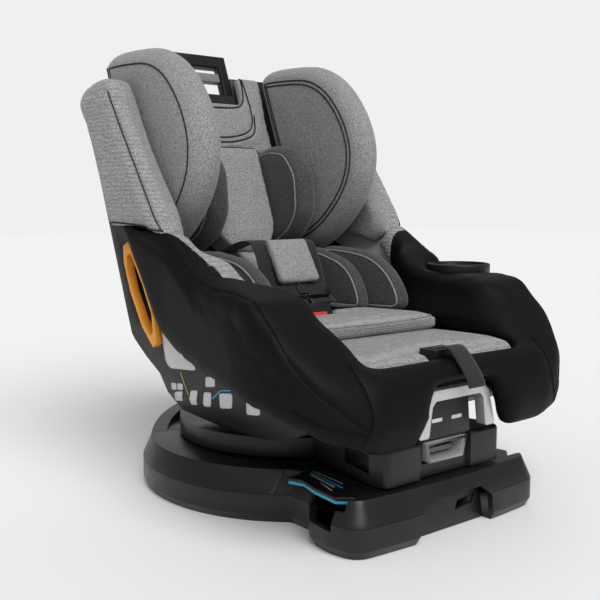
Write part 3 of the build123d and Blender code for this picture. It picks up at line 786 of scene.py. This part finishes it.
def straps(node, runs, thickness, across=0):
    """Ribbons in place of a strap's CAD solid. Runs are (path, low, high)."""
    verts, faces = [], []
    for path, low, high in runs:
        v, f = strap(path, low, high, thickness, across)
        faces += [tuple(i + len(verts) for i in face) for face in f]
        verts += v
    obj = new_object(node + "_webbing", verts, faces, STRAP)
    facing_out(obj)
    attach(obj, "seat")
    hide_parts(node)


SHOULDER = [back(-14.5, 24), back(-14.5, 60), (25.6, 329), (-5.5, 268.5), (-21.5, 249.8), (-29.5, 246.2)]
HIP = [(36, 241), (60, 238.5), (77, 236.5)]
straps("shoulder_straps", [(SHOULDER, 22, 56), (SHOULDER, -56, -22)], 2.2)
straps("hip_straps", [(HIP, -48, -14), ([(-x, z) for x, z in HIP], -48, -14)], 2.2, across=1)
straps("crotch_strap", [([(-42, 191), (-50, 201), (-61, 212.5)], -14, 14)], 2.2)
straps("adjuster_strap", [([(-287, 218.5), (-303, 219), (-327, 194), (-335, 178)], -14, 14)], 2.6)

# ---------------------------------------------------------------- labels and plaque (blank)

shell = CAD["seat_shell"]
SHELL_SIDE = 206
PATCHES = [
    [(26, 246), (-39, 202), (-52, 178), (22, 171)],
    [(43, 165), (21, 168), (30, 149), (50, 147)],
    [(22, 151), (9, 152), (13, 142), (26, 141)],
    [(6, 153), (-8, 154), (-4, 145), (10, 143)],
    [(-69, 173), (-91, 177), (-86, 163), (-63, 159)],
    [(18, 139), (-3, 143), (9, 127), (32, 123)],
    [(-24, 148), (-42, 151), (-27, 128), (-8, 125)],
    [(-56, 151), (-74, 154), (-64, 133), (-44, 129)],
    [(-92, 156), (-122, 161), (-113, 140), (-85, 135)],
    [(-148, 156), (-177, 161), (-170, 142), (-142, 138)],
    [(-193, 165), (-225, 168), (-219, 154), (-188, 149)],
    [(-18, 117), (-50, 123), (-34, 108), (8, 98)]]
STRIPES = [[(-72, 145), (-97, 160)], [(-97, 160), (-125, 165)], [(-9, 170), (-15, 140)], [(-15, 140), (14, 104)]]
for side, word in ((-1, "left"), (1, "right")):
    cast = (-side, 0, 0)
    for number, corners in enumerate(PATCHES):
        decal(f"blank_label_{word}_{number + 1}", at_x(corners, side * SHELL_SIDE), cast, shell, LABEL, "seat")
    for number, ((y0, z0), (y1, z1)) in enumerate(STRIPES):
        length = math.hypot(y1 - y0, z1 - z0)
        ny, nz = (z1 - z0) / length * 0.7, -(y1 - y0) / length * 0.7
        corners = [(y0 + ny, z0 + nz), (y1 + ny, z1 + nz), (y1 - ny, z1 - nz), (y0 - ny, z0 - nz)]
        decal(f"label_line_{word}_{number + 1}", at_x(corners, side * SHELL_SIDE), cast, shell,
              BLUE if number < 2 else LABEL_YELLOW, "seat")

plate = CAD["belt_plates"]
PLATE_TOP = 62
for side, word in ((-1, "left"), (1, "right")):
    def on_plate(points):
        return [(-side * x, y, PLATE_TOP) for x, y in points]
    decal(f"plate_label_{word}", on_plate([(-105, -160), (-103, -246), (-128, -262), (-144, -252), (-132, -200)]),
          (0, 0, -1), plate, LABEL_DARK, "base", lift=0.3)
    for number, (points, finish) in enumerate((
            ([(-111, -175), (-120, -243), (-125, -245), (-115, -178)], BLUE),
            ([(-117, -180), (-127, -236), (-129, -236), (-119, -181)], LABEL),
            ([(-106, -172), (-111, -232), (-112.5, -232), (-107.5, -172)], LABEL),
            ([(-129, -214), (-137, -243), (-138.5, -242), (-130.5, -214)], LABEL))):
        decal(f"plate_bar_{word}_{number + 1}", on_plate(points), (0, 0, -1), plate, finish, "base",
              lift=0.75)
decal("rear_plaque", [(-215, 48, 70), (-215, -22, 72), (-215, -30, 49), (-215, 56, 47)], (1, 0, 0),
      CAD["base_rear_cover"], GLOSS, "base", lift=0.8, rings=8)
for number, x in enumerate((-26, 8)):
    corners = [(x, -300, 136), (x + 18, -300, 136), (x + 18, -300, 131.5), (x, -300, 131.5)]
    decal(f"front_panel_bar_{number + 1}", corners, (0, 1, 0), CAD["front_panel"], LABEL, "seat")

# ---------------------------------------------------------------- stage, light, camera

SKY = 0.87           # backdrop as the camera sees it
SKY_LIGHT = 0.28     # light that the backdrop gives
FLOOR = 0.90         # albedo that brings the lit floor to the backdrop's grey
floor = new_object("floor", [(-9000, -9000, 0), (9000, -9000, 0), (9000, 9000, 0), (-9000, 9000, 0)],
                   [(0, 1, 2, 3)], start_material("floor_pale", 0.95, specular=0.0)[0])
floor_shader = floor.data.materials[0].node_tree.nodes["Principled BSDF"]
floor_shader.inputs["Base Color"].default_value = (FLOOR, FLOOR, FLOOR, 1)
world = bpy.data.worlds.new("studio")
scene.world = world
world.use_nodes = True
sky = world.node_tree.nodes["Background"]
sky.inputs[0].default_value = (1, 1, 1, 1)
ray_kind = world.node_tree.nodes.new("ShaderNodeLightPath")
amount = world.node_tree.nodes.new("ShaderNodeMix")
amount.inputs[2].default_value = SKY_LIGHT
amount.inputs[3].default_value = SKY
world.node_tree.links.new(ray_kind.outputs["Is Camera Ray"], amount.inputs[0])
world.node_tree.links.new(amount.outputs[0], sky.inputs[1])


def sun(name, azimuth, height, strength, spread):
    """A soft distant light from an azimuth (from +X towards +Y) and a height, in degrees."""
    data = bpy.data.lights.new(name, "SUN")
    data.energy = strength
    data.angle = math.radians(spread)
    obj = bpy.data.objects.new(name, data)
    scene.collection.objects.link(obj)
    a, h = math.radians(azimuth), math.radians(height)
    source = Vector((math.cos(a) * math.cos(h), math.sin(a) * math.cos(h), math.sin(h)))
    obj.rotation_euler = source.to_track_quat("Z", "Y").to_euler()


sun("key", -105, 47, 2.35, 45)
sun("fill", -165, 55, 0.30, 60)
sun("rim", 60, 42, 0.40, 50)

camera_data = bpy.data.cameras.new("camera")
camera_data.lens = 54.0
camera_data.sensor_width = 36.0
camera = bpy.data.objects.new("camera", camera_data)
scene.collection.objects.link(camera)
camera.location = (-0.7875, -0.9870, 0.38813)
camera.rotation_euler = (math.radians(83.70), 0, -math.radians(39.04))
scene.camera = camera
